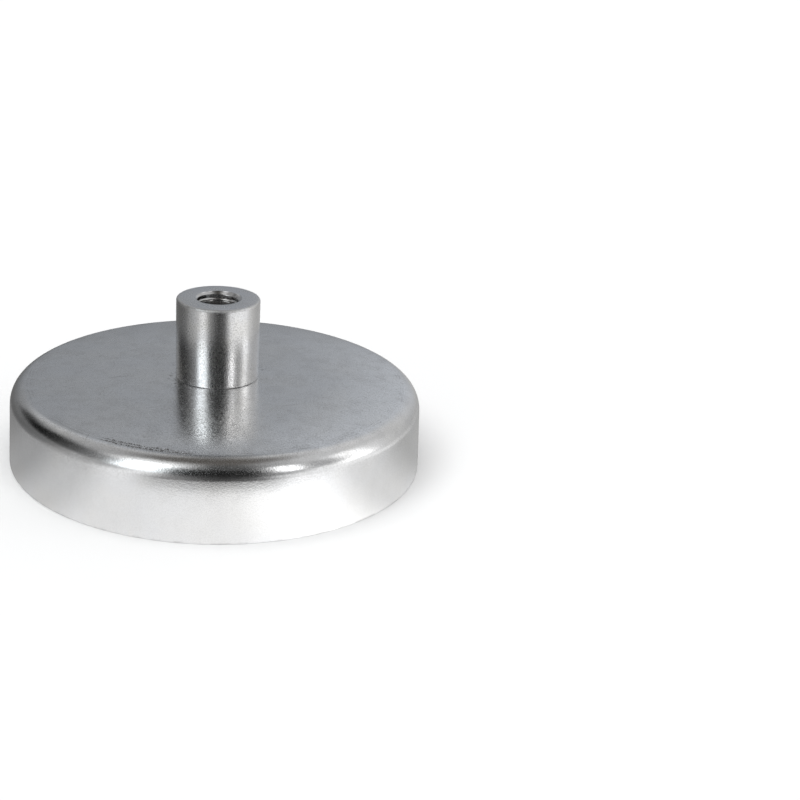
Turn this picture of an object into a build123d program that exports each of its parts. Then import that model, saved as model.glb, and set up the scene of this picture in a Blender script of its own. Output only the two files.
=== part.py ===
"""Ferrite pot magnet with a threaded bush, hung on a rope by its thread for magnet fishing.

A pressed steel cup carries a ferrite disc, bonded to its floor and potted round its side. A
turned steel bush, riveted through the middle of the crown, takes the screwed end of an eye.
Every piece is turned about the Z axis. The origin is the centre of the holding face, and
heights are measured up from that face.
"""

import os
from math import cos, radians, tan

from build123d import *

# Steel pot, in millimetres as all sizes here
pot_diameter = 125.0
pot_height = 25.5
pot_wall = 5.0
crown_thickness = 5.3
crown_flat_diameter = 64.0
crown_fall = 2.2  # how far the crown would drop to a sharp corner with the wall
wall_draft = 0.9  # how much less the radius is at that corner than at the rim
shoulder_radius = 6.0
rim_edge_radius = 0.6
cavity_lip_chamfer = 0.5
cavity_corner_radius = 1.0

# Ferrite disc, the adhesive film over it and the potting round it
potting_gap = 2.8
potting_recess = 1.2
bond_thickness = 0.2
ferrite_edge_chamfer = 0.4

# Threaded bush
bush_diameter = 25.0
bush_height = 24.5
bush_edge_chamfer = 0.6
bush_foot_radius = 0.5
spigot_diameter = 18.0
rivet_flare = 1.5

# M14 coarse thread, bored at its minor diameter
thread_diameter = 14.0
thread_pitch = 2.0
mouth_inset = 0.25  # how far the bore's chamfer stops short of the thread's major radius
bush_bottom_web = 2.2
drill_point_angle = 118.0

# Radii and heights that follow from the driving sizes
pot_radius = pot_diameter / 2
crown_corner = (pot_radius - wall_draft, pot_height - crown_fall)
crown_flat_edge = (crown_flat_diameter / 2, pot_height)
cavity_radius = pot_radius - pot_wall
floor_height = pot_height - crown_thickness
ferrite_radius = cavity_radius - potting_gap
ferrite_top = floor_height - bond_thickness
bush_radius = bush_diameter / 2
bush_top = pot_height + bush_height
spigot_radius = spigot_diameter / 2
flare_radius = spigot_radius + rivet_flare
flare_top = floor_height + rivet_flare

# A metric thread's basic minor diameter lies 5/8 of its sharp V's height inside, on each side
sharp_v_height = thread_pitch * cos(radians(30))
bore_radius = thread_diameter / 2 - 5 / 8 * sharp_v_height
mouth_radius = thread_diameter / 2 - mouth_inset
mouth_bottom = bush_top - (mouth_radius - bore_radius)
drill_tip = floor_height + bush_bottom_web
bore_bottom = drill_tip + bore_radius / tan(radians(drill_point_angle / 2))


def rounded(section, corner, radius):
    """Rounds the vertex of a flat section that lies at a corner point."""
    return fillet(section.vertices().sort_by_distance(corner)[0], radius)


def turned(section):
    """Turns a section, drawn as radius and height, about the Z axis."""
    return revolve(Plane.XZ * section, Axis.Z)


def polygon(*points):
    """Flat section with straight sides through the points."""
    return make_face(Polyline(*points, close=True))


def cavity_section(radius, bottom):
    """Room inside the pot from a height up to its floor, out to a radius."""
    corner = (radius, floor_height)
    section = polygon((0, bottom), (radius, bottom), corner, (0, floor_height))
    return rounded(section, corner, cavity_corner_radius)


def steel_pot():
    """Pressed cup: drafted wall, rounded shoulder, slightly domed crown and riveting hole."""
    rim = (pot_radius, 0)
    outline = Polyline((0, pot_height), (0, 0), rim, crown_corner)
    crown = Line((0, pot_height), crown_flat_edge)
    dome = TangentArc(crown_flat_edge, crown_corner, tangent=(1, 0))
    section = make_face([outline, crown, dome])
    section = rounded(section, crown_corner, shoulder_radius)
    section = rounded(section, rim, rim_edge_radius)

    lip = polygon(
        (0, 0),
        (cavity_radius + cavity_lip_chamfer, 0),
        (cavity_radius, cavity_lip_chamfer),
        (0, cavity_lip_chamfer),
    )
    rivet_hole = polygon(
        (0, floor_height),
        (flare_radius, floor_height),
        (spigot_radius, flare_top),
        (spigot_radius, pot_height),
        (0, pot_height),
    )
    cavity = cavity_section(cavity_radius, 0)
    return turned(section) - turned(lip) - turned(cavity) - turned(rivet_hole)


def ferrite_disc():
    """Ground ferrite magnet, its face level with the rim of the pot."""
    chamfer_edge = ferrite_radius - ferrite_edge_chamfer
    section = polygon(
        (0, 0),
        (chamfer_edge, 0),
        (ferrite_radius, ferrite_edge_chamfer),
        (ferrite_radius, ferrite_top),
        (0, ferrite_top),
    )
    return turned(section)


def bond_film():
    """Cured adhesive between the ferrite and the floor of the pot."""
    section = polygon(
        (0, ferrite_top),
        (ferrite_radius, ferrite_top),
        (ferrite_radius, floor_height),
        (0, floor_height),
    )
    return turned(section)


def potting_ring():
    """Epoxy cast between the ferrite and the wall, ending a little inside the holding face."""
    inside = polygon(
        (0, potting_recess),
        (ferrite_radius, potting_recess),
        (ferrite_radius, floor_height),
        (0, floor_height),
    )
    return turned(cavity_section(cavity_radius, potting_recess)) - turned(inside)


def threaded_bush():
    """Turned bush with a blind threaded bore and a spigot riveted over inside the pot."""
    foot = (bush_radius, pot_height)
    section = polygon(
        (0, floor_height),
        (flare_radius, floor_height),
        (spigot_radius, flare_top),
        (spigot_radius, pot_height),
        foot,
        (bush_radius, bush_top - bush_edge_chamfer),
        (bush_radius - bush_edge_chamfer, bush_top),
        (mouth_radius, bush_top),
        (bore_radius, mouth_bottom),
        (bore_radius, bore_bottom),
        (0, drill_tip),
    )
    return turned(rounded(section, foot, bush_foot_radius))


PIECES = {
    "steel_pot": steel_pot,
    "threaded_bush": threaded_bush,
    "ferrite_disc": ferrite_disc,
    "bond_film": bond_film,
    "potting_ring": potting_ring,
}

os.makedirs("parts", exist_ok=True)
for name, make in PIECES.items():
    export_step(make(), f"parts/{name}.step")
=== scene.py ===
"""Looks of a ferrite pot magnet with a threaded bush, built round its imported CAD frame.

The pot, the bush, the ferrite and the potting are turned again here as finely divided meshes,
with a cut thread, chipped ferrite and a wavy epoxy surface, and each one stands in for its CAD
node. The adhesive film, which nothing shows, keeps its CAD mesh. All lengths are in metres.
"""

import logging
import math
import random
from dataclasses import dataclass, field
from enum import Enum
from typing import Any, Callable

import bpy
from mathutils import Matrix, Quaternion, Vector


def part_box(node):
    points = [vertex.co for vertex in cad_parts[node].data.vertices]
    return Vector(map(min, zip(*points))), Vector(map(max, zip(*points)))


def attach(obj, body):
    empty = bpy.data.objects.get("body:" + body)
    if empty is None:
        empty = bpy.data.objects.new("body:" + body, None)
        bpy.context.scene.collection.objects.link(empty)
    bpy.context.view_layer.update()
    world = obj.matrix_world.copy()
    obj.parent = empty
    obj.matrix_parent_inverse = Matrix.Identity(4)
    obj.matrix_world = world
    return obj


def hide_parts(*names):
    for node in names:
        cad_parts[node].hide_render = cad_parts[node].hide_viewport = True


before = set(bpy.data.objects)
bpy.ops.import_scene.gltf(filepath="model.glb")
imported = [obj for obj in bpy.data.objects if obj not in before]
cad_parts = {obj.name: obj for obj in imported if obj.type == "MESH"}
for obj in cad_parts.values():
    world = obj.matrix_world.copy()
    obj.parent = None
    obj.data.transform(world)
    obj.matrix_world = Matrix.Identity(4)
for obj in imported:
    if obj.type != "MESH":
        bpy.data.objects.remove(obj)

log = logging.getLogger("pot_magnet")

MM = 0.001
FULL_TURN = math.tau
DEGREES_ROUND = 360.0
BODY = "root"
ROUND_STEPS = 288  # flats round each turned piece, the same on all, so that their walls meet
MERGE = 0.001 * MM  # vertices closer than this are one
SPIGOT_RADIUS = 9 * MM  # of the bush, riveted over in the pot's hole
RIVET_FLARE = 1.5 * MM

Colour = tuple[float, float, float]
Point = tuple[float, float]


# ---- Modelling ----


def deselect_all() -> None:
    """Leaves no object selected, because the CAD nodes start selected."""
    for thing in bpy.context.selected_objects:
        thing.select_set(False)


def activate(piece: bpy.types.Object) -> None:
    """Makes one object the only selected and the active one.

    Args:
        piece: the object that the next operators act on.
    """
    deselect_all()
    piece.select_set(True)
    bpy.context.view_layer.objects.active = piece


def apply_modifier(piece: bpy.types.Object, kind: str, **settings: Any) -> None:
    """Adds one modifier, sets it up and applies it.

    Args:
        piece: the object that gets it.
        kind: the modifier's type, such as BOOLEAN.
        settings: values of the modifier's own properties.
    """
    activate(piece)
    modifier = piece.modifiers.new(kind.title(), kind)
    for name, value in settings.items():
        setattr(modifier, name, value)
    bpy.ops.object.modifier_apply(modifier=modifier.name)


def shade_smooth(piece: bpy.types.Object, crease: float = 30.0) -> None:
    """Shades a piece smooth, apart from edges sharper than an angle in degrees."""
    activate(piece)
    bpy.ops.object.shade_smooth_by_angle(angle=math.radians(crease))


@dataclass
class Outline:
    """Half section of a turned piece: points of radius and height, in order."""

    points: list[Point] = field(default_factory=list)

    def to(self, radius: float, height: float) -> "Outline":
        """Goes straight to a point. Gives the outline itself, so that calls can be chained."""
        self.points.append((radius, height))
        return self

    def through(self, radius: float, height: float, steps: int) -> "Outline":
        """Goes straight to a point in equal steps.

        Args:
            radius: the point's distance from the axis.
            height: its height.
            steps: how many edges the straight line gets.

        Returns:
            The outline itself.
        """
        r0, h0 = self.points[-1]
        for step in range(1, steps + 1):
            share = step / steps
            self.to(r0 + (radius - r0) * share, h0 + (height - h0) * share)
        return self

    def arc(self, centre: Point, radius: float, start: float, end: float, steps: int) -> "Outline":
        """Follows an arc, with both of its ends.

        Args:
            centre: the arc's centre.
            radius: its radius.
            start: angle of its first point, in radians from the outward direction.
            end: angle of its last point.
            steps: how many edges it gets.

        Returns:
            The outline itself.
        """
        for step in range(steps + 1):
            angle = start + (end - start) * step / steps
            self.to(centre[0] + radius * math.cos(angle), centre[1] + radius * math.sin(angle))
        return self

    def draw(self, name: str) -> bpy.types.Object:
        """Draws the outline in the XZ plane, by extruding one vertex from point to point.

        Args:
            name: the new object's name.

        Returns:
            An object of edges only, left in edit mode.
        """
        deselect_all()
        bpy.ops.mesh.primitive_plane_add(size=MM, location=(0.0, 0.0, 0.0))
        piece = bpy.context.object
        piece.name = piece.data.name = name
        bpy.ops.object.mode_set(mode="EDIT")
        bpy.ops.mesh.merge(type="CENTER")
        here = Vector((self.points[0][0], 0.0, self.points[0][1]))
        bpy.ops.transform.translate(value=here)
        for radius, height in self.points[1:]:
            there = Vector((radius, 0.0, height))
            bpy.ops.mesh.extrude_region_move(TRANSFORM_OT_translate={"value": there - here})
            here = there
        return piece

    def turn(self, name: str, steps: int = ROUND_STEPS) -> bpy.types.Object:
        """Turns the outline about the Z axis into a closed shell.

        Args:
            name: the new object's name.
            steps: how many flats the shell has round it.

        Returns:
            The turned piece, shaded smooth between its sharp edges.
        """
        piece = self.draw(name)
        bpy.ops.mesh.select_all(action="SELECT")
        bpy.ops.mesh.spin(steps=steps, angle=FULL_TURN, center=(0, 0, 0), axis=(0, 0, 1))
        close_shell()
        shade_smooth(piece)
        return piece


def open_mesh(piece: bpy.types.Object) -> None:
    """Opens a piece's mesh in edit mode, all of it selected.

    Args:
        piece: the object to open.
    """
    activate(piece)
    bpy.ops.object.mode_set(mode="EDIT")
    bpy.ops.mesh.select_all(action="SELECT")


def close_shell() -> None:
    """Merges the seam and the poles of the mesh in edit mode, and points its faces outwards."""
    bpy.ops.mesh.select_all(action="SELECT")
    bpy.ops.mesh.remove_doubles(threshold=MERGE)
    bpy.ops.mesh.normals_make_consistent(inside=False)
    bpy.ops.object.mode_set(mode="OBJECT")


def displace(
    piece: bpy.types.Object, size: float, contrast: float, weight: Callable[[Vector], float], **settings: Any
) -> None:
    """Moves a piece's vertices by a soft cloud pattern.

    Args:
        piece: the object.
        size: how far apart the clouds are.
        contrast: how hard their edges are.
        weight: gives how much of the pattern a vertex takes, from 0 to 1, by its place.
        settings: values of the Displace modifier's own properties.
    """
    group = piece.vertex_groups.new(name="displaced")
    for vertex in piece.data.vertices:
        group.add([vertex.index], weight(vertex.co), "REPLACE")
    texture = bpy.data.textures.new("clouds", "CLOUDS")
    texture.noise_scale, texture.noise_depth, texture.contrast = size, 2, contrast
    settings |= {"texture": texture, "texture_coords": "LOCAL", "vertex_group": group.name}
    apply_modifier(piece, "DISPLACE", **settings)


def register(piece: bpy.types.Object, node: str, finish: Any) -> None:
    """Dresses a finished piece and hands it to the frame in the place of its CAD node.

    Args:
        piece: the finished object.
        node: the CAD node that it stands for.
        finish: what it is dressed in.
    """
    dress(piece, finish)
    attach(piece, BODY)
    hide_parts(node)
    log.info("%s: %d faces, in place of %s", piece.name, len(piece.data.polygons), node)


def dress(piece: bpy.types.Object, finish: Any) -> None:
    """Gives a piece the material of a finish and no other."""
    piece.data.materials.clear()
    piece.data.materials.append(finish.material())


# ---- Materials ----


class Blend(Enum):
    """How two colours are put together."""

    MIX = "MIX"
    MULTIPLY = "MULTIPLY"
    ADD = "ADD"


class Value:
    """One number of a node tree, with Python's operators for the maths on it."""

    def __init__(self, recipe: "Recipe", socket: Any) -> None:
        """Wraps an output socket of a recipe's node tree."""
        self.recipe = recipe
        self.socket = socket

    def _math(self, operation: str, *values: Any) -> "Value":
        """Adds one Math node and returns its result."""
        node = self.recipe.node("ShaderNodeMath", {"operation": operation}, dict(enumerate(values)))
        return Value(self.recipe, node.outputs[0])

    def __add__(self, other: Any) -> "Value":
        """Adds."""
        return self._math("ADD", self, other)

    __radd__ = __add__

    def __sub__(self, other: Any) -> "Value":
        """Subtracts."""
        return self._math("SUBTRACT", self, other)

    def __rsub__(self, other: Any) -> "Value":
        """Subtracts from a number."""
        return self._math("SUBTRACT", other, self)

    def __mul__(self, other: Any) -> "Value":
        """Multiplies."""
        return self._math("MULTIPLY", self, other)

    __rmul__ = __mul__

    def __truediv__(self, other: Any) -> "Value":
        """Divides."""
        return self._math("DIVIDE", self, other)

    def __abs__(self) -> "Value":
        """Drops the sign."""
        return self._math("ABSOLUTE", self)

    def lowest(self, other: Any) -> "Value":
        """Takes the lower of two numbers."""
        return self._math("MINIMUM", self, other)

    def highest(self, other: Any) -> "Value":
        """Takes the higher of two numbers."""
        return self._math("MAXIMUM", self, other)

    def root(self) -> "Value":
        """Takes the square root."""
        return self._math("SQRT", self)

    def fraction(self) -> "Value":
        """Drops the whole part."""
        return self._math("FRACT", self)

    def arc_sine(self) -> "Value":
        """Gives the angle with this sine, in radians."""
        return self._math("ARCSINE", self)

    def angle_from(self, other: Any) -> "Value":
        """Gives the angle whose sine is to its cosine as this is to the other."""
        return self._math("ARCTAN2", self, other)

    def step(self, low: float, high: float) -> "Value":
        """Goes smoothly from 0 at one value to 1 at another, which may be the lower one.

        Args:
            low: where the result is 0.
            high: where the result is 1.

        Returns:
            A number from 0 to 1.
        """
        settings = {"interpolation_type": "SMOOTHSTEP"}
        backwards = high < low
        ends = (high, low) if backwards else (low, high)
        inputs = {"Value": self, "From Min": ends[0], "From Max": ends[1]}
        result = Value(self.recipe, self.recipe.node("ShaderNodeMapRange", settings, inputs).outputs[0])
        return 1 - result if backwards else result


class Recipe:
    """The node tree of one material or of the world."""

    def __init__(self, owner: Any) -> None:
        """Empties the owner's node tree.

        Args:
            owner: a material or a world.
        """
        owner.use_nodes = True
        self.owner = owner
        self.tree = owner.node_tree
        self.tree.nodes.clear()

    def node(self, kind: str, settings: dict[str, Any], inputs: dict[Any, Any]) -> Any:
        """Adds one node.

        Args:
            kind: its type.
            settings: its own properties. A ramp's places and greys are under "stops".
            inputs: values or links of its sockets, by name or number.

        Returns:
            The node.
        """
        node = self.tree.nodes.new(kind)
        for name, value in settings.items():
            if name == "stops":
                self._fill_ramp(node.color_ramp, value)
            else:
                setattr(node, name, value)
        for name, value in inputs.items():
            socket = node.inputs[name]
            source = getattr(value, "socket", value)
            if isinstance(source, bpy.types.NodeSocket):
                self.tree.links.new(source, socket)
            elif isinstance(value, tuple) and socket.type == "RGBA":
                socket.default_value = (*value, 1.0)
            else:
                socket.default_value = value
        return node

    @staticmethod
    def _fill_ramp(ramp: Any, stops: list[Point]) -> None:
        """Sets the places and greys of a colour ramp that eases from one to the next.

        Args:
            ramp: the colour ramp.
            stops: a place from 0 to 1 and a grey for each stop, in order.
        """
        ramp.interpolation = "EASE"
        while len(ramp.elements) < len(stops):
            ramp.elements.new(1.0)
        for element, (place, grey) in zip(ramp.elements, stops):
            element.position = place
            element.color = (grey, grey, grey, 1.0)

    def place(self) -> Any:
        """Gives the place on the object, in metres."""
        return self.node("ShaderNodeTexCoord", {}, {}).outputs["Object"]

    def parts(self, vector: Any) -> tuple[Value, Value, Value]:
        """Splits a vector into three numbers."""
        split = self.node("ShaderNodeSeparateXYZ", {}, {0: vector})
        return tuple(Value(self, output) for output in split.outputs)

    @staticmethod
    def distance(x: Value, y: Value) -> Value:
        """Gives the length of a flat vector."""
        return (x * x + y * y).root()

    def vector(self, x: Any, y: Any, z: Any) -> Any:
        """Joins three numbers into a vector."""
        return self.node("ShaderNodeCombineXYZ", {}, {0: x, 1: y, 2: z}).outputs[0]

    def noise(
        self, size: float, vector: Any = None, detail: float = 2.0, rough: float = 0.5, warp: float = 0.0
    ) -> Value:
        """Adds a noise whose features are about a size across.

        Args:
            size: the size in metres, or in the vector's own unit.
            vector: where it is read, or the place on the object if none.
            detail: how many finer octaves it has.
            rough: how strong they are.
            warp: how far it is pulled about.

        Returns:
            A number near 0.5.
        """
        inputs = {
            "Vector": self.place() if vector is None else vector,
            "Scale": 1.0 / size,
            "Detail": detail,
            "Roughness": rough,
            "Distortion": warp,
        }
        return Value(self, self.node("ShaderNodeTexNoise", {}, inputs).outputs[0])

    def mix(self, share: Any, first: Any, second: Any, how: Blend = Blend.MIX) -> Any:
        """Mixes two colours.

        Args:
            share: how much of the second one there is.
            first: a colour or a link to one.
            second: a colour or a link to one.
            how: what is done with them.

        Returns:
            The mixed colour's socket.
        """
        settings = {"data_type": "RGBA", "blend_type": how.value}
        inputs = {0: share, 6: first, 7: second}
        return self.node("ShaderNodeMix", settings, inputs).outputs[2]

    def relief(self, *layers: tuple[Value, float]) -> Any:
        """Raises the surface by several heights, one over the other.

        Args:
            layers: a height from 0 to 1 and what a height of 1 is in metres, the lowest layer first.

        Returns:
            The normal's socket.
        """
        inputs = {"Strength": 1.0}
        for height, depth in layers:
            inputs |= {"Height": height, "Distance": depth}
            inputs["Normal"] = self.node("ShaderNodeBump", {}, inputs).outputs[0]
        return inputs["Normal"]

    def bare_metal(self, colour: Any, roughness: Value, normal: Any) -> None:
        """Ends the tree with a metal surface of a colour, a roughness and a normal."""
        self.surface({"Base Color": colour, "Metallic": 1.0, "Roughness": roughness, "Normal": normal})

    def surface(self, inputs: dict[str, Any]) -> None:
        """Ends the tree with a Principled surface, its sockets set by name."""
        shader = self.node("ShaderNodeBsdfPrincipled", {}, inputs)
        self.node("ShaderNodeOutputMaterial", {}, {"Surface": shader.outputs[0]})


def new_recipe(name: str) -> Recipe:
    """Starts a material with an empty recipe."""
    return Recipe(bpy.data.materials.new(name))


@dataclass(frozen=True)
class PlatedPressing:
    """Zinc plate on the pressed pot: satin, cloudy, grainy, marked where the crown ends."""

    seam_radius: float
    crown_height: float
    foot_radius: float
    marked_azimuth: float = -20.0
    metal: Colour = (0.84, 0.845, 0.855)
    warm: Colour = (0.85, 0.84, 0.82)
    stain: Colour = (0.46, 0.45, 0.44)
    soot: Colour = (0.24, 0.23, 0.225)
    roughness: float = 0.155
    cloud_size: float = 19 * MM
    blotch_size: float = 4.5 * MM
    speck_size: float = 0.9 * MM
    grain_size: float = 0.42 * MM
    grain_depth: float = 0.018 * MM
    peel_size: float = 2.6 * MM
    peel_depth: float = 0.012 * MM
    crown_band: float = 3 * MM
    shoulder_band: float = 11 * MM
    rim_band: float = 0.9 * MM
    marked_reach: Point = (16.0, 8.0)
    line_width: float = 0.32 * MM
    line_gap: float = 1.0 * MM
    line_wander: float = 1.3 * MM
    line_tear: float = 2.6 * MM
    line_depth: float = 0.10 * MM
    scuff_reach: float = 6.5 * MM
    scuff_size: float = 1.1 * MM
    scuff_depth: float = 0.03 * MM
    scratch_turns: tuple[float, ...] = (0.35, 1.3, 2.5)
    scratch_depth: float = 0.012 * MM

    def material(self) -> bpy.types.Material:
        """Builds the material.

        Returns:
            The finished material.
        """
        recipe = new_recipe("zinc_plated_pressing")
        x, y, z = recipe.parts(recipe.place())
        radius = recipe.distance(x, y)
        cloud = recipe.noise(self.cloud_size, detail=3, rough=0.55, warp=0.4).step(0.35, 0.68)
        blotch = recipe.noise(self.blotch_size, detail=3, rough=0.6).step(0.42, 0.66)
        speck = recipe.noise(self.speck_size, detail=2).step(0.60, 0.72)
        fine = recipe.noise(self.grain_size, detail=2, rough=0.7).step(0.45, 0.60)
        crown = z.step(self.crown_height - self.crown_band, self.crown_height - self.crown_band / 2)
        shoulder = z.step(self.crown_height - self.shoulder_band, self.crown_height - 7 * MM)
        rim = z.step(self.rim_band, 0.2 * MM)
        seam, groove = self._seam(recipe, x, y, z, radius)
        scratches = self._scratches(recipe, x, y, z) * crown
        scuff = self._scuff(recipe, radius)

        uneven = crown * 0.40 + shoulder * 0.38 + 0.22
        colour = recipe.mix(cloud * 0.5, self.metal, self.warm)
        colour = recipe.mix((blotch * 0.16 + speck * 0.14 + fine * 0.28) * uneven, colour, self.stain)
        # The lowest 0.9 mm of the rim is darkened in blotches towards the soot grey
        worn = seam * 1.5 + scratches * 0.5 + scuff * 0.8 + rim * blotch * 0.35
        colour = recipe.mix(worn.lowest(1.0), colour, self.soot)
        rough = cloud * 0.03 + blotch * 0.03 + fine * 0.13
        roughness = self.roughness + rough * uneven + seam * 0.12 + rim * 0.08

        normal = recipe.relief(
            (recipe.noise(self.grain_size, detail=2, rough=0.55), self.grain_depth),
            (recipe.noise(self.peel_size, detail=2, rough=0.5), self.peel_depth),
            (1 - groove, self.line_depth),
            (1 - scuff, self.scuff_depth),
            (1 - scratches, self.scratch_depth),
        )
        recipe.bare_metal(colour, roughness, normal)
        return recipe.owner

    def _seam(self, recipe: Recipe, x: Value, y: Value, z: Value, radius: Value) -> tuple[Value, Value]:
        """Broken double line that the press leaves where the crown turns into the shoulder.

        Args:
            recipe: the material's recipe.
            x: the place's first coordinate.
            y: its second coordinate.
            z: its height.
            radius: its distance from the axis.

        Returns:
            How dark and how deep the line is, each from 0 to 1.
        """
        wander = recipe.noise(6 * MM, detail=3, rough=0.6) - 0.5
        ragged = recipe.noise(0.75 * MM, detail=2, rough=0.6)
        off = radius - self.seam_radius + wander * self.line_wander
        turn = math.radians(self.marked_azimuth)
        facing = (x * math.sin(turn) - y * math.cos(turn)) / radius
        marked = facing.step(*(math.cos(math.radians(reach)) for reach in self.marked_reach))
        faint = recipe.noise(9 * MM, detail=3, rough=0.7).step(0.46, 0.60) * 0.15
        torn = off + (ragged - 0.5) * marked * self.line_tear
        first = abs(torn).step(self.line_width, 0.09 * MM)
        second = abs(torn + self.line_gap).step(0.27 * MM, 0.08 * MM)
        top = z.step(self.crown_height - 4 * MM, self.crown_height - 3 * MM)
        line = (first + second * 0.8).lowest(1.0) * marked.highest(faint) * top
        return line * ragged.step(0.30, 0.50), line

    def _scuff(self, recipe: Recipe, radius: Value) -> Value:
        """Torn marks that the riveting leaves on the crown round the bush's foot.

        Args:
            recipe: the material's recipe.
            radius: the place's distance from the axis.

        Returns:
            How strong the marks are, from 0 to 1.
        """
        close = radius.step(self.foot_radius + self.scuff_reach, self.foot_radius + 0.5 * MM)
        torn = recipe.noise(self.scuff_size, detail=4, rough=0.65, warp=0.7).step(0.53, 0.62)
        patch = recipe.noise(7 * MM, detail=1, warp=0.4).step(0.46, 0.58)
        return close * torn * patch

    def _scratches(self, recipe: Recipe, x: Value, y: Value, z: Value) -> Value:
        """A few fine straight scratches, each family in its own direction.

        Args:
            recipe: the material's recipe.
            x: the place's first coordinate.
            y: its second coordinate.
            z: its height.

        Returns:
            How strong the scratches are, from 0 to 1.
        """
        total = None
        for number, turn in enumerate(self.scratch_turns):
            along = x * math.cos(turn) + y * math.sin(turn)
            across = y * math.cos(turn) - x * math.sin(turn)
            spot = recipe.vector(along * 60.0, across * 2600.0, z * 200.0 + 7.0 * number)
            family = recipe.noise(1.0, spot, detail=1).step(0.70, 0.78)
            patch = recipe.noise(14 * MM, detail=1, warp=0.3 * number).step(0.5, 0.6)
            found = family * patch
            total = found if total is None else total.highest(found)
        return total


@dataclass(frozen=True)
class PlatedTurning:
    """Zinc plate on the turned bush: satin and grainy, with faint turning lines and painted shade in its
    bore.
    """

    radius: float
    bore_radius: float
    top: float
    metal: Colour = (0.80, 0.805, 0.82)
    warm: Colour = (0.80, 0.785, 0.75)
    # grey of the flecks and the worn top edge; inside the bore it also gives painted shade
    stain: Colour = (0.42, 0.41, 0.40)
    roughness: float = 0.14
    cloud_size: float = 8 * MM
    speck_size: float = 0.4 * MM
    grain_size: float = 0.38 * MM
    grain_depth: float = 0.024 * MM
    line_spacing: float = 0.11 * MM
    line_depth: float = 0.005 * MM
    worn_edge: float = 0.5 * MM

    def material(self) -> bpy.types.Material:
        """Builds the material.

        Returns:
            The finished material.
        """
        recipe = new_recipe("zinc_plated_turning")
        x, y, z = recipe.parts(recipe.place())
        radius = recipe.distance(x, y)
        cloud = recipe.noise(self.cloud_size, detail=3, rough=0.55).step(0.36, 0.66)
        speck = recipe.noise(self.speck_size, detail=2, rough=0.7)
        lines = recipe.noise(self.line_spacing, recipe.vector(radius, z, 0.0), detail=1)
        colour = recipe.mix(cloud * 0.5, self.metal, self.warm)
        outside = radius.step(self.bore_radius, self.bore_radius + 0.5 * MM)
        fleck = speck.step(0.46, 0.58) * (outside * 0.8 + 0.2)
        worn = z.step(self.top - 1.1 * MM, self.top - self.worn_edge)
        worn = worn * radius.step(self.radius - 1.2 * MM, self.radius - 0.6 * MM)
        # Inside the bore the colour is pulled 35 % towards the stain grey: painted shade in the recess
        colour = recipe.mix(fleck * 0.30 + worn * 0.12 + (1 - outside) * 0.35, colour, self.stain)
        smooth = self.roughness - 0.04
        roughness = smooth + (cloud * 0.03 + 0.04) * outside + fleck * 0.13 + worn * 0.28
        grain = recipe.noise(self.grain_size, detail=2, rough=0.6)
        normal = recipe.relief((lines, self.line_depth), (grain, self.grain_depth))
        recipe.bare_metal(colour, roughness, normal)
        return recipe.owner


@dataclass(frozen=True)
class GroundFerrite:
    """Hard ferrite ground on a rotary table: dark grey, with long grinding arcs and smudges."""

    dark: Colour = (0.052, 0.053, 0.056)
    light: Colour = (0.150, 0.152, 0.158)
    roughness: float = 0.36
    wheel_centre: Point = (-118 * MM, -46 * MM)
    fine_arcs: float = 0.42 * MM
    broad_arcs: float = 2.3 * MM
    smudge_size: float = 13 * MM
    depth: float = 0.006 * MM

    def material(self) -> bpy.types.Material:
        """Builds the material.

        Returns:
            The finished material.
        """
        recipe = new_recipe("ground_ferrite")
        x, y, z = recipe.parts(recipe.place())
        arcs = self._arcs(recipe, x, y, self.fine_arcs)
        broad = self._arcs(recipe, x, y, self.broad_arcs)
        smudge = recipe.noise(self.smudge_size, detail=4, rough=0.6, warp=0.8).step(0.36, 0.68)
        fleck = recipe.noise(0.7 * MM, detail=2, rough=0.6).step(0.55, 0.75)
        tone = (smudge * 0.34 + broad * 0.30 + arcs * 0.34 + fleck * 0.12).lowest(1.0)
        colour = recipe.mix(tone, self.dark, self.light)
        roughness = self.roughness + smudge * 0.10 - arcs.step(0.5, 0.8) * 0.08
        normal = recipe.relief((arcs, self.depth), (recipe.noise(0.35 * MM, detail=2), self.depth))
        recipe.surface(
            {"Base Color": colour, "Roughness": roughness, "Specular IOR Level": 0.75, "Normal": normal}
        )
        return recipe.owner

    def _arcs(self, recipe: Recipe, x: Value, y: Value, spacing: float) -> Value:
        """Streaks that follow circles about the grinding wheel's centre.

        Args:
            recipe: the material's recipe.
            x: the place's first coordinate.
            y: its second coordinate.
            spacing: how far apart the streaks are.

        Returns:
            A number near 0.5.
        """
        from_x, from_y = x - self.wheel_centre[0], y - self.wheel_centre[1]
        turn = from_y.angle_from(from_x)
        spot = recipe.vector(recipe.distance(from_x, from_y) / spacing, turn * 9.0, 0.0)
        return recipe.noise(1.0, spot, detail=2, rough=0.55)


@dataclass(frozen=True)
class CastEpoxy:
    """Black potting epoxy: glossy, with slow waves and a few dull patches."""

    name: str = "cast_epoxy"
    black: Colour = (0.006, 0.006, 0.007)
    dusty: Colour = (0.022, 0.021, 0.020)
    roughness: float = 0.10
    wave_size: float = 3.2 * MM
    wave_depth: float = 0.10 * MM

    def material(self) -> bpy.types.Material:
        """Builds the material.

        Returns:
            The finished material.
        """
        recipe = new_recipe(self.name)
        dull = recipe.noise(6 * MM, detail=3, rough=0.6).step(0.48, 0.70)
        dust = recipe.noise(0.5 * MM, detail=2).step(0.66, 0.74)
        colour = recipe.mix((dull * 0.5 + dust * 0.5).lowest(1.0), self.black, self.dusty)
        roughness = self.roughness + dull * 0.22 + dust * 0.2
        waves = recipe.noise(self.wave_size, detail=1)
        ripples = recipe.noise(0.6 * MM, detail=1)
        normal = recipe.relief((waves, self.wave_depth), (ripples, 0.006 * MM))
        recipe.surface({"Base Color": colour, "Roughness": roughness, "Normal": normal})
        return recipe.owner


# ---- The magnet ----


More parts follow.
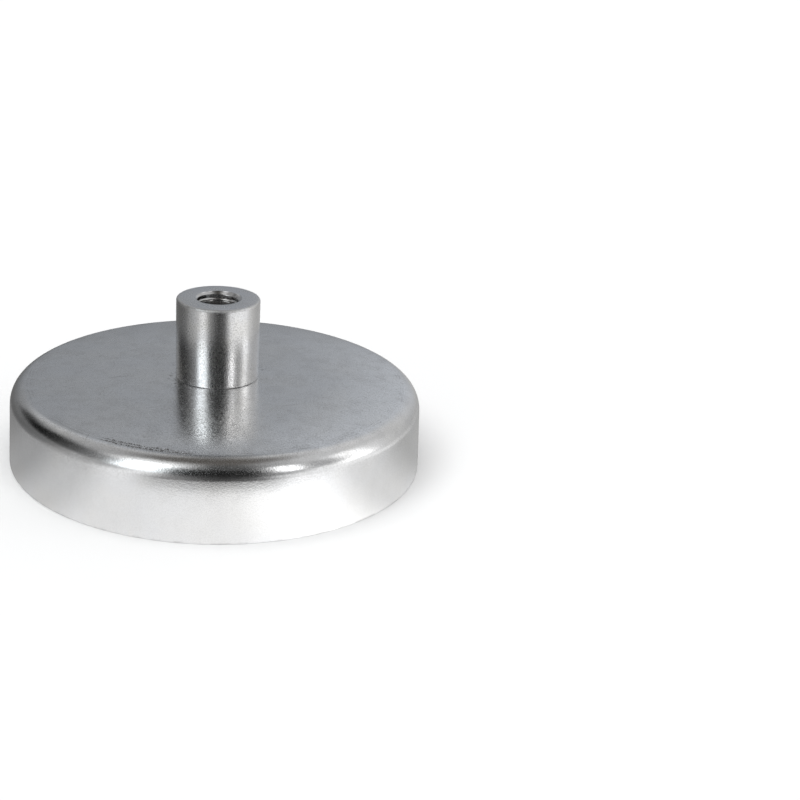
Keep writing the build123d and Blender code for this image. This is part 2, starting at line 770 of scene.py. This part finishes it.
@dataclass
class Pot:
    """Pressed steel cup, open below, with a riveting hole in its slightly domed crown."""

    radius: float
    height: float
    cavity_radius: float
    floor_height: float
    hole_radius: float = SPIGOT_RADIUS
    flare: float = RIVET_FLARE
    shoulder_radius: float = 6.0 * MM
    draft: float = math.radians(2.21)
    crown_slope: float = math.radians(7.04)
    crown_flat_radius: float = 32.0 * MM
    rim_edge: float = 0.6 * MM
    lip: float = 0.5 * MM
    inside_corner: float = 1.0 * MM
    front_nicks: tuple[float, ...] = (4.0, 11.0)
    nick_count: int = 7
    nick_width: Point = (0.5 * MM, 1.3 * MM)
    nick_depth: Point = (0.08 * MM, 0.2 * MM)
    nick_reach: float = 3 * MM
    seed: int = 11

    @property
    def shoulder_centre(self) -> Point:
        """Centre of the shoulder's arc, which touches both the drafted wall and the dome.

        Returns:
            The centre's distance from the axis and its height.
        """
        lean, half_slope = math.tan(self.draft), math.tan(self.crown_slope / 2)
        edge, bend = self.rim_edge, self.shoulder_radius
        wall_at_zero = self.radius - edge + edge / math.cos(self.draft) + edge * lean
        reach = wall_at_zero - bend / math.cos(self.draft)
        rise = self.height - bend
        across = (reach - lean * (rise + half_slope * self.crown_flat_radius)) / (1 - lean * half_slope)
        return across, rise - half_slope * (across - self.crown_flat_radius)

    @property
    def seam_radius(self) -> float:
        """Radius at which the crown turns into the shoulder."""
        return self.shoulder_centre[0] + self.shoulder_radius * math.sin(self.crown_slope)

    def outline(self) -> Outline:
        """Draws the cup's section, from the rim up the outside and down the inside.

        Returns:
            The closed outline.
        """
        half_turn = math.pi / 2
        centre, bend, edge = self.shoulder_centre, self.shoulder_radius, self.rim_edge
        dome = bend + (centre[0] - self.crown_flat_radius) / math.sin(self.crown_slope)
        dome_centre = (self.crown_flat_radius, self.height - dome)
        shape = Outline().to(self.cavity_radius + self.lip, 0.0)
        shape.through(self.radius - edge, 0.0, 6)
        shape.arc((self.radius - edge, edge), edge, -half_turn, self.draft, 6)
        shape.arc(centre, bend, self.draft, half_turn - self.crown_slope, 28)
        shape.arc(dome_centre, dome, half_turn - self.crown_slope, half_turn, 16)
        shape.through(self.hole_radius, self.height, 8)
        shape.to(self.hole_radius, self.floor_height + self.flare)
        shape.to(self.hole_radius + self.flare, self.floor_height)
        corner = self.cavity_radius - self.inside_corner, self.floor_height - self.inside_corner
        shape.arc(corner, self.inside_corner, half_turn, 0.0, 4)
        shape.to(self.cavity_radius, self.lip)
        return shape.to(self.cavity_radius + self.lip, 0.0)

    def build(self) -> bpy.types.Object:
        """Turns the pot and knocks a few small nicks into its lower edge.

        Returns:
            The pot.
        """
        pot = self.outline().turn("pot_shell")
        draw = random.Random(self.seed)
        places = [math.radians(azimuth) for azimuth in self.front_nicks]
        places += [draw.uniform(0.0, FULL_TURN) for _ in range(self.nick_count)]
        nicks = [(place, draw.uniform(*self.nick_width), draw.uniform(*self.nick_depth)) for place in places]
        for vertex in pot.data.vertices:
            if vertex.co.z > self.nick_reach or vertex.co.xy.length < self.radius - 2 * self.rim_edge:
                continue
            for angle, width, depth in nicks:
                spot = Vector((math.sin(angle), -math.cos(angle), 0.0)) * self.radius
                near = max(0.0, 1.0 - (vertex.co - spot).length / width)
                vertex.co -= spot.normalized() * depth * near
        return pot


@dataclass
class Bush:
    """Turned bush with a real cut thread, its spigot riveted over inside the pot."""

    radius: float
    top: float
    seat: float
    bottom: float
    spigot_radius: float = SPIGOT_RADIUS
    flare: float = RIVET_FLARE
    thread_diameter: float = 14.0 * MM
    pitch: float = 2.0 * MM
    edge: float = 0.7 * MM
    foot: float = 0.5 * MM
    mouth_radius: float = 6.75 * MM
    mouth_round: float = 0.12 * MM
    web: float = 2.2 * MM
    drill_half_angle: float = math.radians(59.0)
    thread_runout: float = 2.0 * MM
    thread_flank: float = math.radians(30.0)
    crest_edge: float = 0.10 * MM
    crest_bevel: float = math.radians(58.0)
    overcut: float = 0.1 * MM
    turn_steps: int = 72

    @property
    def bore_radius(self) -> float:
        """Radius of the thread's crests: its basic minor radius."""
        sharp_v = self.pitch * math.cos(self.thread_flank)
        return self.thread_diameter / 2 - 5 / 8 * sharp_v

    @property
    def bore_bottom(self) -> float:
        """Height at which the bore's wall meets the drill point."""
        return self.bottom + self.web + self.bore_radius / math.tan(self.drill_half_angle)

    def outline(self) -> Outline:
        """Draws the bush's section, from the spigot's end out, up and down into the bore.

        Returns:
            The outline, which ends on the axis.
        """
        quarter = math.pi / 2
        mouth, lip = self.mouth_radius, self.mouth_round
        shape = Outline().to(0.0, self.bottom).to(self.spigot_radius + self.flare, self.bottom)
        shape.to(self.spigot_radius, self.bottom + self.flare).to(self.spigot_radius, self.seat)
        shape.arc((self.radius - self.foot, self.seat + self.foot), self.foot, -quarter, 0.0, 4)
        shape.arc((self.radius - self.edge, self.top - self.edge), self.edge, 0.0, quarter, 6)
        shape.arc((mouth + lip, self.top - lip), lip, quarter, 2 * quarter, 4)
        shape.to(self.bore_radius, self.top - lip - (mouth - self.bore_radius))
        shape.to(self.bore_radius, self.bore_bottom)
        return shape.to(0.0, self.bottom + self.web)

    def thread_cutter(self) -> bpy.types.Object:
        """Winds the groove between the thread's crests into a closed coil.

        Returns:
            The coil, to be cut from the bush.
        """
        inside, crest = self.bore_radius - self.overcut, self.pitch / 16
        root, edge = self.thread_diameter / 2, self.bore_radius + self.crest_edge
        half_edge = crest + (root - edge) * math.tan(self.thread_flank)
        half_mouth = half_edge + (edge - inside) * math.tan(self.crest_bevel)
        start = self.bore_bottom + self.thread_runout
        turns = math.ceil((self.top - start) / self.pitch)
        section = Outline().to(inside, start - half_mouth).to(edge, start - half_edge)
        section.to(root, start - crest).to(root, start + crest)
        section.to(edge, start + half_edge).to(inside, start + half_mouth)
        section.to(inside, start - half_mouth)
        coil = section.draw("thread_cutter")
        close_shell()
        winding = {"axis": "Z", "angle": FULL_TURN, "screw_offset": self.pitch, "iterations": turns}
        apply_modifier(coil, "SCREW", steps=self.turn_steps, render_steps=self.turn_steps, **winding)
        open_mesh(coil)
        bpy.ops.mesh.fill_holes(sides=0)
        close_shell()
        return coil

    def build(self) -> bpy.types.Object:
        """Turns the bush and cuts its thread.

        Returns:
            The bush.
        """
        bush = self.outline().turn("bush_with_thread")
        cutter = self.thread_cutter()
        apply_modifier(bush, "BOOLEAN", operation="DIFFERENCE", solver="EXACT", object=cutter)
        bpy.data.objects.remove(cutter)
        open_mesh(bush)
        close_shell()
        shade_smooth(bush)
        return bush


@dataclass
class Ferrite:
    """Ground ferrite disc, its edge chipped here and there in handling."""

    radius: float
    top: float
    edge: float = 0.4 * MM
    flat_count: int = 9
    flat_depth: Point = (0.10 * MM, 0.42 * MM)
    flat_slant: Point = (18.0, 40.0)
    chip_size: float = 1.7 * MM
    erosion: float = 0.30 * MM
    edge_band: float = 1.2 * MM
    crease: float = 24.0
    seed: int = 5

    def build(self) -> bpy.types.Object:
        """Turns the disc, slices small flats off its edge and roughens it.

        Returns:
            The disc.
        """
        shape = Outline().to(0.0, 0.0)
        shape.through(self.radius - 4 * self.edge_band, 0.0, 6)
        shape.through(self.radius - self.edge, 0.0, 16)
        shape.to(self.radius, self.edge).through(self.radius, 4 * self.edge_band, 10)
        shape.to(self.radius, self.top).to(0.0, self.top)
        disc = shape.turn("ferrite_block")
        self._slice_flats(disc)
        displace(disc, self.chip_size, 2.2, self._edge_weight, mid_level=1.0, strength=self.erosion)
        for vertex in disc.data.vertices:
            vertex.co.z = max(vertex.co.z, 0.0)
        shade_smooth(disc, self.crease)
        return disc

    def _edge_weight(self, place: Vector) -> float:
        """Weight of the roughening: all on the lower edge, none a short way from it."""
        away = math.hypot(self.radius - place.xy.length, place.z)
        return max(0.0, 1.0 - away / self.edge_band)

    def _slice_flats(self, disc: bpy.types.Object) -> None:
        """Cuts shallow slanting flats off the edge of the disc.

        Args:
            disc: the disc to cut.
        """
        draw = random.Random(self.seed)
        open_mesh(disc)
        for _ in range(self.flat_count):
            angle, depth = draw.uniform(0.0, FULL_TURN), draw.uniform(*self.flat_depth)
            slant = math.radians(draw.uniform(*self.flat_slant))
            outwards = Vector((math.cos(angle), math.sin(angle), 0.0))
            corner = outwards * (self.radius - self.edge - depth)
            facing = outwards * math.cos(slant) - Vector((0.0, 0.0, 1.0)) * math.sin(slant)
            bpy.ops.mesh.select_all(action="SELECT")
            bpy.ops.mesh.bisect(plane_co=corner, plane_no=facing, use_fill=True, clear_outer=True)
        close_shell()


@dataclass
class Potting:
    """Epoxy cast between the ferrite and the pot, its free surface hollow and uneven."""

    outer_radius: float
    inner_radius: float
    recess: float
    top: float
    pot_corner: float = 1.0 * MM
    creep: float = 0.9 * MM
    hollow: float = 0.35 * MM
    unevenness: float = 0.9 * MM
    pour_size: float = 9 * MM
    surface_steps: int = 12

    def build(self) -> bpy.types.Object:
        """Turns the ring and lets its free surface wander up and down.

        Returns:
            The ring.
        """
        inner = self.inner_radius - self.creep
        middle = (inner + self.outer_radius) / 2
        half_width = (self.outer_radius - inner) / 2
        bow = (half_width**2 + self.hollow**2) / (2 * self.hollow)
        spread = math.asin(half_width / bow)
        down = -math.pi / 2
        shape = Outline()
        low = (middle, self.recess - bow + self.hollow)
        shape.arc(low, bow, -down + spread, -down - spread, self.surface_steps)
        shape.to(self.outer_radius, self.top - self.pot_corner)
        corner = (self.outer_radius - self.pot_corner, self.top - self.pot_corner)
        shape.arc(corner, self.pot_corner, 0.0, -down, 4)
        shape.to(inner, self.top)
        shape.to(*shape.points[0])
        ring = shape.turn("potting_bead")
        waves = {"direction": "Z", "mid_level": 0.5, "strength": self.unevenness}
        displace(ring, self.pour_size, 1.3, self._surface_weight, **waves)
        shade_smooth(ring)
        return ring

    def _surface_weight(self, place: Vector) -> float:
        """Weight of the unevenness: the free surface only."""
        return 1.0 if place.z < self.recess + self.hollow + 0.05 * MM else 0.0


# ---- The studio ----


def direction(azimuth: float, elevation: float) -> Vector:
    """Gives a direction from the object.

    Args:
        azimuth: degrees from the front, positive to the right.
        elevation: degrees above the floor.

    Returns:
        The direction, of length 1.
    """
    turn, rise = math.radians(azimuth), math.radians(elevation)
    return Vector((math.sin(turn) * math.cos(rise), -math.cos(turn) * math.cos(rise), math.sin(rise)))


def share_at(azimuth: float) -> float:
    """Says how far round the room an azimuth is, from 0 to 1, with the front in the middle."""
    return 0.5 + azimuth / DEGREES_ROUND


def share_round(x: Value, y: Value) -> Value:
    """Works out the same share for a direction or a place in a node tree."""
    return x.angle_from(y * -1.0) / FULL_TURN + 0.5


# Greys by azimuth from the front: the room's walls from the floor up, the table, and what is past it
HORIZON: list[Point] = [
    (-180, 0.30), (-150, 0.20), (-114, 0.14), (-95, 0.19), (-77, 0.44), (-58, 0.38),
    (-39, 0.92), (-19, 0.13), (0, 0.03), (19.5, 0.03), (39, 0.42), (58, 0.98), (77, 1.20),
    (95, 0.72), (114, 0.55), (133, 0.48), (152, 0.55), (180, 0.30),
]
LOWER_WALLS: list[Point] = [
    (-180, 0.36), (-166, 0.33), (-142, 0.28), (-133, 0.05), (-117, 0.00), (-100, 0.02),
    (-86, 0.08), (-66, 0.20), (-22, 0.01), (0, 0.01), (20, 0.01), (34, 0.26), (62, 0.36),
    (84, 0.45), (102, 0.70), (117, 0.55), (140, 0.60), (164, 0.60), (180, 0.36),
]
UPPER_WALLS: list[Point] = [
    (-180, 0.03), (-171, 0.28), (-160, 0.52), (-128, 0.42), (-110, 0.40), (-84, 0.34),
    (-60, 0.90), (-40, 1.00), (-24, 0.62), (-8, 0.06), (0, 0.05), (22, 0.08), (46, 0.40),
    (66, 0.58), (110, 0.62), (128, 0.68), (160, 0.60), (171, 0.36), (180, 0.03),
]
TABLE_GREYS: list[Point] = [
    (-180, 0.30), (-110, 0.24), (-78, 0.38), (-56, 0.62), (-35, 0.88), (0, 1.00), (30, 1.50),
    (60, 0.80), (90, 0.46), (130, 0.40), (180, 0.30),
]
FLOOR_GREYS: list[Point] = [
    (-180, 0.20), (-150, 0.16), (-114, 0.13), (-95, 0.17), (-77, 0.36), (-58, 0.50),
    (-39, 1.00), (-19, 0.22), (0, 0.05), (17, 0.10), (36, 0.95), (58, 1.05), (77, 1.00),
    (95, 0.66), (114, 0.50), (133, 0.45), (152, 0.50), (180, 0.20),
]
COOL: Colour = (0.90, 0.94, 1.0)  # light of the wall behind, which the crown mirrors
WARM: Colour = (1, 0.92, 0.84)  # light from straight above


@dataclass(frozen=True)
class Panel:
    """One soft-edged lit card, which lights the object and shows in its metal.

    Angles are in degrees. The card hangs so far away that only its direction matters.
    """

    name: str
    azimuth: float
    elevation: float
    half_width: float
    half_height: float
    radiance: float
    softness: float = 5.0
    tint: Colour = (1.0, 1.0, 1.0)

    def add_to(self, recipe: Recipe, round_share: Value, rise: Value, room: Any) -> Any:
        """Adds the card's light to the room's.

        Args:
            recipe: the world's recipe.
            round_share: how far round the room a direction is, from 0 to 1.
            rise: its elevation in degrees.
            room: the colour of the room so far.

        Returns:
            The new colour's socket.
        """
        off = round_share - share_at(self.azimuth) + 0.5
        across = abs(off.fraction() - 0.5) * DEGREES_ROUND
        up = abs(rise - self.elevation)
        edge = self.softness
        cover = across.step(self.half_width + edge, self.half_width - edge)
        cover = cover * up.step(self.half_height + edge, self.half_height - edge)
        lit = tuple(channel * self.radiance for channel in self.tint)
        light = recipe.mix(cover, (0.0, 0.0, 0.0), lit)
        log.info("panel %s", self.name)
        return recipe.mix(1.0, room, light, Blend.ADD)


@dataclass
class Studio:
    """Pale floor, soft lights, dim room and camera."""

    floor_size: float = 14.0
    floor_white: float = 0.84
    backdrop: float = 1.0
    sky_strength: float = 2.4
    sky_width: float = 70.0
    sky_towards: Point = (-30.0, 72.0)
    zenith: float = 0.10
    horizon_band: Point = (6.0, 15.0)
    upper_band: Point = (34.0, 50.0)
    zenith_band: Point = (60.0, 78.0)
    back_band: Point = (0.36, 0.46)
    back_top: Point = (60.0, 50.0)
    table_radius: float = 109 * MM
    table_edge: float = 13 * MM
    table_drop: float = 0.02 * MM
    aim_height: float = 15 * MM
    camera_distance: float = 0.4441
    camera_elevation: float = 21.95
    focal_length: float = 65.17
    sensor_width: float = 36.0
    clip: Point = (0.01, 50.0)
    pan: float = 4.08
    tilt: float = 0.345
    roll: float = 0.985
    shift: float = 0.1
    panels: tuple[Panel, ...] = (
        Panel("key_left", -42.5, 32.0, 13.0, 21.0, 2.1, softness=7.0, tint=(0.93, 0.98, 1.0)),
        Panel("strip_right", 41.5, 30.0, 6.0, 14.0, 2.2, softness=4.5),
        Panel("side_right", 83.0, 20.0, 9.0, 22.0, 1.0, softness=6.0),
        Panel("behind", 180.0, 36.0, 14.0, 4.0, 0.10, softness=5.0),
        Panel("high_left", -136.0, 37.0, 18.0, 7.0, 0.26, softness=6.0),
    )

    def build(self) -> None:
        """Builds it all."""
        self._camera()
        self._floor()
        self._mirrored_table()
        self._room()
        self._sky()
        bpy.context.scene.view_settings.view_transform = "Standard"

    def _camera(self) -> None:
        """Stands the camera in front of the object and turns it a little to the right."""
        lens = bpy.data.cameras.new("camera")
        lens.lens, lens.sensor_width, lens.shift_x = self.focal_length, self.sensor_width, self.shift
        lens.clip_start, lens.clip_end = self.clip
        camera = bpy.data.objects.new("camera", lens)
        bpy.context.scene.collection.objects.link(camera)
        towards = direction(0.0, self.camera_elevation)
        camera.location = Vector((0.0, 0.0, self.aim_height)) + towards * self.camera_distance
        camera.rotation_mode = "QUATERNION"
        facing = (-towards).to_track_quat("-Z", "Y")
        for axis, turn in (((0, 1, 0), -self.pan), ((1, 0, 0), self.tilt), ((0, 0, 1), self.roll)):
            facing @= Quaternion(axis, math.radians(turn))
        camera.rotation_quaternion = facing
        bpy.context.scene.camera = camera

    def _sky(self) -> None:
        """Lights the floor evenly from above, without a highlight in the metal."""
        lamp = bpy.data.lights.new("sky", "SUN")
        lamp.energy, lamp.angle = self.sky_strength, math.radians(self.sky_width)
        sky = bpy.data.objects.new("sky", lamp)
        bpy.context.scene.collection.objects.link(sky)
        sky.rotation_mode = "QUATERNION"
        sky.rotation_quaternion = direction(*self.sky_towards).to_track_quat("Z", "Y")
        sky.visible_glossy = False

    def _plane(self, name: str, size: float, height: float) -> bpy.types.Object:
        """Lays a flat square under the object.

        Args:
            name: its name.
            size: the length of its sides.
            height: how high it lies.

        Returns:
            The square.
        """
        deselect_all()
        bpy.ops.mesh.primitive_plane_add(size=size, location=(0.0, 0.0, height))
        plane = bpy.context.object
        plane.name = plane.data.name = name
        return plane

    def _floor(self) -> None:
        """Lays a large matt white floor under the holding face."""
        floor = self._plane("studio_floor", self.floor_size, 0.0)
        floor.visible_glossy = False
        recipe = new_recipe("matt_white")
        grey = (self.floor_white,) * 3
        recipe.surface({"Base Color": grey, "Roughness": 0.9, "Specular IOR Level": 0.0})
        floor.data.materials.append(recipe.owner)

    def _mirrored_table(self) -> None:
        """Lays the small lit table that the metal mirrors, just under the floor."""
        table = self._plane("studio_table", self.floor_size, -self.table_drop)
        table.visible_camera = table.visible_diffuse = table.visible_shadow = False
        recipe = new_recipe("lit_table")
        x, y, z = recipe.parts(recipe.place())
        share = share_round(x, y)
        lit = self._ring(recipe, share, TABLE_GREYS)
        beyond = self._ring(recipe, share, FLOOR_GREYS)
        radius = recipe.distance(x, y)
        edge = radius.step(self.table_radius - self.table_edge, self.table_radius + self.table_edge)
        colour = recipe.mix(edge, lit, beyond)
        glow = recipe.node("ShaderNodeEmission", {}, {"Color": colour, "Strength": 1.0})
        recipe.node("ShaderNodeOutputMaterial", {}, {"Surface": glow.outputs[0]})
        table.data.materials.append(recipe.owner)

    def _room(self) -> None:
        """Makes the dim room that the metal mirrors, with its lit cards."""
        world = bpy.data.worlds.new("room")
        bpy.context.scene.world = world
        recipe = Recipe(world)
        x, y, z = recipe.parts(recipe.node("ShaderNodeTexCoord", {}, {}).outputs["Generated"])
        share = share_round(x, y)
        rise = z.arc_sine() * math.degrees(1.0)
        room = self._ring(recipe, share, HORIZON)
        room = recipe.mix(rise.step(*self.horizon_band), room, self._ring(recipe, share, LOWER_WALLS))
        room = recipe.mix(rise.step(*self.upper_band), room, self._ring(recipe, share, UPPER_WALLS))
        overhead = tuple(channel * self.zenith for channel in WARM)
        room = recipe.mix(rise.step(*self.zenith_band), room, overhead)
        behind = abs(share - 0.5).step(*self.back_band) * rise.step(*self.back_top)
        room = recipe.mix(behind, room, COOL, Blend.MULTIPLY)
        for panel in self.panels:
            room = panel.add_to(recipe, share, rise, room)
        seen = recipe.node("ShaderNodeLightPath", {}, {}).outputs["Is Camera Ray"]
        shown = recipe.mix(seen, room, (self.backdrop,) * 3)
        background = recipe.node("ShaderNodeBackground", {}, {"Color": shown, "Strength": 1.0})
        recipe.node("ShaderNodeOutputWorld", {}, {"Surface": background.outputs[0]})

    @staticmethod
    def _ring(recipe: Recipe, share: Value, greys: list[Point]) -> Any:
        """Runs a list of greys round the room.

        Args:
            recipe: the world's or the table's recipe.
            share: how far round the room a direction is, from 0 to 1.
            greys: azimuth in degrees and grey, from behind on the left to behind on the right.

        Returns:
            The colour's socket.
        """
        stops = [(share_at(azimuth), grey) for azimuth, grey in greys]
        return recipe.node("ShaderNodeValToRGB", {"stops": stops}, {"Fac": share}).outputs[0]


def main() -> None:
    """Builds the magnet and its studio, piece by piece."""
    logging.basicConfig(level=logging.INFO, format="%(name)s: %(message)s")
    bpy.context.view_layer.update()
    pot_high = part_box("steel_pot")[1]
    bush_low, bush_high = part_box("threaded_bush")
    ferrite_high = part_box("ferrite_disc")[1]
    ring_low, ring_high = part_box("potting_ring")

    Studio().build()
    pot = Pot(pot_high.x, pot_high.z, cavity_radius=ring_high.x, floor_height=ring_high.z)
    plate = PlatedPressing(pot.seam_radius, pot.height, foot_radius=bush_high.x)
    register(pot.build(), "steel_pot", plate)
    bush = Bush(bush_high.x, top=bush_high.z, seat=pot_high.z, bottom=bush_low.z)
    satin = PlatedTurning(bush.radius, bore_radius=bush.mouth_radius, top=bush.top)
    register(bush.build(), "threaded_bush", satin)
    ferrite = Ferrite(ferrite_high.x, top=ferrite_high.z)
    register(ferrite.build(), "ferrite_disc", GroundFerrite())
    ring = Potting(ring_high.x, inner_radius=ferrite_high.x, recess=ring_low.z, top=ring_high.z)
    register(ring.build(), "potting_ring", CastEpoxy())
    dress(bpy.data.objects["bond_film"], CastEpoxy("cured_adhesive", roughness=0.3))
    log.info("bond_film keeps its CAD mesh")


if __name__ == "__main__":
    main()
